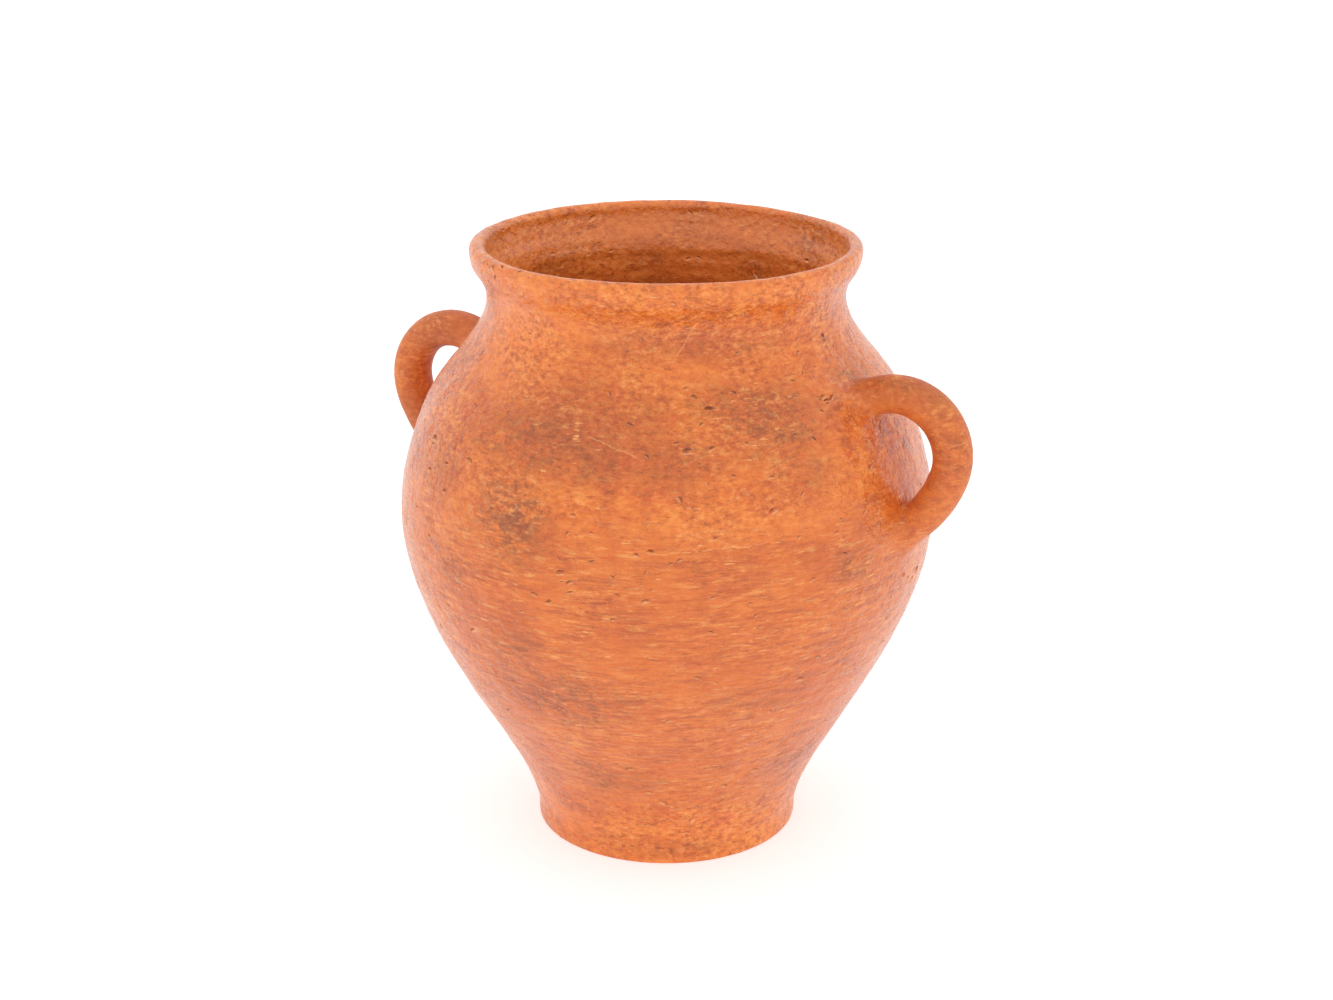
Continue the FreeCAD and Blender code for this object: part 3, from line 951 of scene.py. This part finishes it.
def scratches(n, place):
    """All the scratches together, each a little wavy and broken."""
    wave = n.add("ShaderNodeTexNoise", {"Vector": place, "Scale": 1 / (12 * MM), "Detail": 2.0}, output=1)
    wave = n.add("ShaderNodeVectorMath", {0: wave, 1: (0.5, 0.5, 0.5)}, operation="SUBTRACT")
    wave = n.add("ShaderNodeVectorMath", {0: wave, "Scale": 3.5 * MM}, operation="SCALE")
    bent = n.add("ShaderNodeVectorMath", {0: place, 1: wave}, operation="ADD")
    found = None
    for first, last, on_inside in SCRATCHES:
        ends = []
        for degrees, level in (first, last):
            distance = skin.outside_distance(np.array([level * JAR_HEIGHT]))
            points, normals = spun(distance, np.array([math.radians(degrees)]))
            out = Vector(normals[0])
            ends.append((Vector(points[0]) - out * WALL_BEHIND * on_inside, out))
        outward = (ends[0][1] + ends[1][1]).normalized()
        line = scratch(n, bent, ends[0][0], ends[1][0], outward)
        found = line if found is None else n.math("MAXIMUM", found, line)
    breaks = n.between(n.noise(place, 4 * MM, 3, 0.6), 0.36, 0.56)
    return n.math("MULTIPLY", found, breaks)


# Colours of the clay and of the painted light and shade on it, as display values
BURNT = linear(162, 74, 32)
BROWN = linear(200, 95, 37)
ORANGE = linear(219, 110, 38)
LIGHT = linear(228, 124, 46)
PALE = linear(238, 150, 72)
BUFF = linear(240, 166, 88)
RED = linear(214, 88, 34)
# rubbed wear, and painted light where the foot is lightened
RUBBED_AND_LIT = linear(242, 136, 58)
DASH = linear(182, 84, 36)
BELLY_BROWN = linear(200, 98, 40)
# painted light: the inside is mixed towards this lighter orange
LIT_INSIDE = linear(236, 134, 62)
STAIN = linear(134, 64, 34)
HANDLED = linear(176, 100, 56)
PALE_SPOT = linear(248, 176, 102)
DARK_SPOT = linear(150, 70, 32)
PALE_GRAIN = linear(252, 184, 112)
DARK_GRAIN = linear(146, 70, 34)
PIT_SHADOW = linear(84, 34, 20)
# painted highlight on the nicks' lower edges
PIT_HIGHLIGHT_COLOUR = linear(252, 206, 156)
SCRATCH = linear(248, 190, 128)

BUMP_HEIGHT = 1.9 * MM


def body_colour(n, place, flat, flatter, middle, marks):
    """The fired clay: mottled, streaked level round the belly, paler where it is rubbed, and painted lighter
    at the foot and inside the jar, as painted light.
    """
    broad = n.noise(place, 60 * MM, 3, 0.6)
    tone = n.math("MULTIPLY_ADD", middle, 0.75, n.math("MULTIPLY", broad, 0.25))
    colour = n.ramp(tone, [(0.38, BURNT), (0.45, BROWN), (0.50, ORANGE), (0.56, LIGHT), (0.66, PALE)])

    streak = marks["streak"]
    buff = n.between(n.noise(flatter, 20 * MM, 7, 0.80), 0.54, 0.63)
    colour = n.mix(n.math("MULTIPLY", buff, n.math("MULTIPLY_ADD", streak, 0.60, 0.30)), colour, BUFF)
    red = n.between(n.noise(flat, 20 * MM, 7, 0.72), 0.53, 0.66)
    colour = n.mix(n.math("MULTIPLY", red, 0.45), colour, RED)
    # rubbed wear, and painted light lightening the foot
    colour = n.mix(n.math("MULTIPLY", marks["worn_and_lit"], 0.55), colour, RUBBED_AND_LIT)
    dark_dashes = n.between(n.noise(flatter, 30 * MM, 7, 0.76), 0.48, 0.38)
    colour = n.mix(n.math("MULTIPLY", n.math("MULTIPLY", dark_dashes, streak), 0.95), colour, DASH)
    colour = n.mix(n.math("MULTIPLY", streak, 0.35), colour, BELLY_BROWN)
    # painted light: the inside is mixed towards a lighter orange
    return n.mix(n.math("MULTIPLY", marks["inside"], 0.55), colour, LIT_INSIDE)


def stained(n, colour, place, flat, flatter, marks):
    """Cloudy stains, the darker handles, and small pale and dark spots."""
    stain = marks["stain"]
    cloud = n.between(n.noise(flat, 12 * MM, 8, 0.80), 0.42, 0.60)
    colour = n.mix(n.math("MULTIPLY", n.math("MULTIPLY", stain, 0.85), cloud), colour, STAIN)
    colour = n.mix(n.math("MULTIPLY", marks["handled"], 0.26), colour, HANDLED)
    spots = n.noise(flatter, 13 * MM, 4, 0.66)
    crowds = n.between(n.noise(place, 40 * MM, 2, 0.5), 0.44, 0.62)
    pale_spots = n.math("MULTIPLY", n.between(spots, 0.62, 0.71), n.blend(crowds, 0.30, 0.95))
    dark_spots = n.math("MULTIPLY", n.between(spots, 0.38, 0.30), n.blend(stain, 0.50, 0.90))
    colour = n.mix(pale_spots, colour, PALE_SPOT)
    return n.mix(dark_spots, colour, DARK_SPOT)


def grained(n, colour, place, flat, flatter, marks):
    """A fine pale and dark grain, strongest in patches and in the stains."""
    level_grain = n.math("MULTIPLY", marks["streak"], 0.7)
    grain = n.blend(level_grain, n.noise(flat, 4.6 * MM, 4, 0.76), n.noise(flatter, 11 * MM, 5, 0.76))
    patches = n.between(n.noise(place, 55 * MM, 3, 0.6), 0.42, 0.58)
    rougher = n.math("MAXIMUM", n.math("MULTIPLY", patches, 0.75), n.math("MULTIPLY", marks["stain"], 1.2))
    strength = n.math("MULTIPLY", n.blend(rougher, 0.28, 1.0), n.blend(marks["handled"], 1.0, 0.6))
    dark_grain = n.math("MULTIPLY", n.between(grain, 0.51, 0.34), strength)
    pale_grain = n.math("MULTIPLY", n.between(grain, 0.50, 0.68), n.blend(patches, 0.35, 1.0))
    colour = n.mix(n.math("MULTIPLY", dark_grain, 0.82), colour, DARK_GRAIN)
    return n.mix(n.math("MULTIPLY", pale_grain, 0.45), colour, PALE_GRAIN)


def nicked(n, colour, place, pit):
    """Painted shadow on the nicks' upper edges and painted highlights on their lower ones, and the scratches.
    """
    # painted shadow on the nicks' upper edges
    colour = n.mix(n.math("MULTIPLY", n.math("MAXIMUM", pit, 0.0), 0.8), colour, PIT_SHADOW)
    # painted highlight on the nicks' lower edges
    pit_highlight = n.math("MAXIMUM", n.math("MULTIPLY", pit, -1.0), 0.0)
    colour = n.mix(n.math("MULTIPLY", pit_highlight, 0.8), colour, PIT_HIGHLIGHT_COLOUR)
    return n.mix(n.math("MULTIPLY", scratches(n, place), 0.32), colour, SCRATCH)


def grain_bump(n, place, marks):
    """The bump of the bare clay, calmer in patches, inside, and on the handles."""
    fine = n.noise(place, 2.2 * MM, 1, 0.5)
    coarse = n.noise(place, 6.5 * MM, 3, 0.60)
    height = n.math("MULTIPLY_ADD", coarse, 1.5, n.math("MULTIPLY", fine, 0.45))
    uneven = n.between(n.noise(place, 22 * MM, 3, 0.6), 0.62, 0.40)
    calm = n.math("MAXIMUM", n.math("MULTIPLY", uneven, 0.75), n.math("MULTIPLY", marks["inside"], 0.70))
    strength = n.blend(n.math("MAXIMUM", marks["handled"], calm), 1.0, 0.2)
    return n.add("ShaderNodeBump", {"Strength": strength, "Distance": BUMP_HEIGHT, "Height": height})


def clay_material():
    """Fired terracotta, rubbed and stained, with painted light at the foot and inside, and painted light and
    shade at the nicks, and a soft sheen where it is seen edge on.
    """
    material = bpy.data.materials.new("terracotta")
    n = Nodes(material)
    place = n.add("ShaderNodeTexCoord", output=3)
    flat = n.add("ShaderNodeVectorMath", {0: place, 1: (1.0, 1.0, 1.7)}, operation="MULTIPLY")
    flatter = n.add("ShaderNodeVectorMath", {0: place, 1: (1.0, 1.0, 6.5)}, operation="MULTIPLY")
    marks = {name: n.attribute(name) for name in ("streak", "stain", "worn_and_lit", "inside", "handled", "pit")}

    flecks = n.noise(flat, 12 * MM, 9, 0.84)
    dashes = n.noise(flatter, 28 * MM, 9, 0.84)
    middle = n.blend(n.math("MULTIPLY", marks["streak"], 0.7), flecks, dashes)
    colour = body_colour(n, place, flat, flatter, middle, marks)
    colour = stained(n, colour, place, flat, flatter, marks)
    colour = grained(n, colour, place, flat, flatter, marks)
    colour = nicked(n, colour, place, marks["pit"])

    rough = n.blend(n.between(middle, 0.40, 0.62), 0.22, 0.33)
    shader = n.add("ShaderNodeBsdfPrincipled", {
        "Base Color": colour, "Roughness": n.blend(marks["handled"], rough, 0.60), "IOR": 1.5,
        "Normal": grain_bump(n, place, marks), "Sheen Weight": 0.18, "Sheen Roughness": 0.25,
    })
    n.add("ShaderNodeOutputMaterial", {"Surface": shader}, output=None)
    return material


# ---- studio

def floor():
    """A plain white floor with a slight glow of its own, much larger than the view."""
    half = 12.0
    corners = [(-half, -half, 0), (half, -half, 0), (half, half, 0), (-half, half, 0)]
    mesh = bpy.data.meshes.new("studio_floor")
    mesh.from_pydata(corners, [], [(0, 1, 2, 3)])
    plane = bpy.data.objects.new("studio_floor", mesh)
    bpy.context.scene.collection.objects.link(plane)
    material = bpy.data.materials.new("white_floor")
    n = Nodes(material)
    shader = n.add("ShaderNodeBsdfPrincipled", {
        "Base Color": (0.75, 0.75, 0.75, 1), "Roughness": 0.9, "Specular IOR Level": 0.1,
        "Emission Color": (1.0, 1.0, 1.0, 1), "Emission Strength": FLOOR_GLOW,
    })
    n.add("ShaderNodeOutputMaterial", {"Surface": shader}, output=None)
    mesh.materials.append(material)


def lights():
    """An even white surround."""
    world = bpy.data.worlds.new("white_studio")
    bpy.context.scene.world = world
    world.use_nodes = True
    world.node_tree.nodes["Background"].inputs["Color"].default_value = (1, 1, 1, 1)
    world.node_tree.nodes["Background"].inputs["Strength"].default_value = WORLD_STRENGTH


def camera():
    """The camera, placed from the jar's height."""
    data = bpy.data.cameras.new("camera")
    data.lens = LENS
    data.sensor_width = SENSOR_WIDTH
    eye = bpy.data.objects.new("camera", data)
    east, north = CAMERA_AWAY * math.sin(CAMERA_AZIMUTH), -CAMERA_AWAY * math.cos(CAMERA_AZIMUTH)
    place = Vector((east, north, CAMERA_HEIGHT))
    target = Vector((0, 0, AIM_HEIGHT))
    eye.location = place
    eye.rotation_euler = (target - place).to_track_quat("-Z", "Y").to_euler()
    bpy.context.scene.collection.objects.link(eye)
    bpy.context.scene.camera = eye


# ---- assembly

def settle(piece, node, slot, material):
    piece.data.materials.append(material)
    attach(piece, "root")
    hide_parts(node)


def build():
    clay = clay_material()
    made = build_skin()
    for node, slot in (
        ("foot_ring", "foot"), ("lower_body", "body"), ("upper_body", "body"),
        ("neck_collar", "body"), ("lip_coil", "lip"),
    ):
        settle(thrown_piece(made, node, node + "_clay"), node, slot, clay)
    for node in ("floor_coil", "belly_seam_coil"):
        settle(turned_piece(node, node + "_clay", COIL_COLUMNS, COIL_STEP), node, "inside", clay)
    disc = disc_piece("floor_disc", "floor_disc_clay", DISC_COLUMNS, DISC_RINGS)
    settle(disc, "floor_disc", "inside", clay)
    for side, word in ((1, "right"), (-1, "left")):
        node = word + "_handle"
        settle(handle_piece(side, node + "_clay"), node, "handle", clay)
        for root in ROOTS:
            node = f"{word}_handle_{root['name']}"
            settle(root_piece(root, side, node + "_clay"), node, "handle_root", clay)


camera()
lights()
floor()
build()
bpy.context.scene.view_settings.view_transform = "Standard"
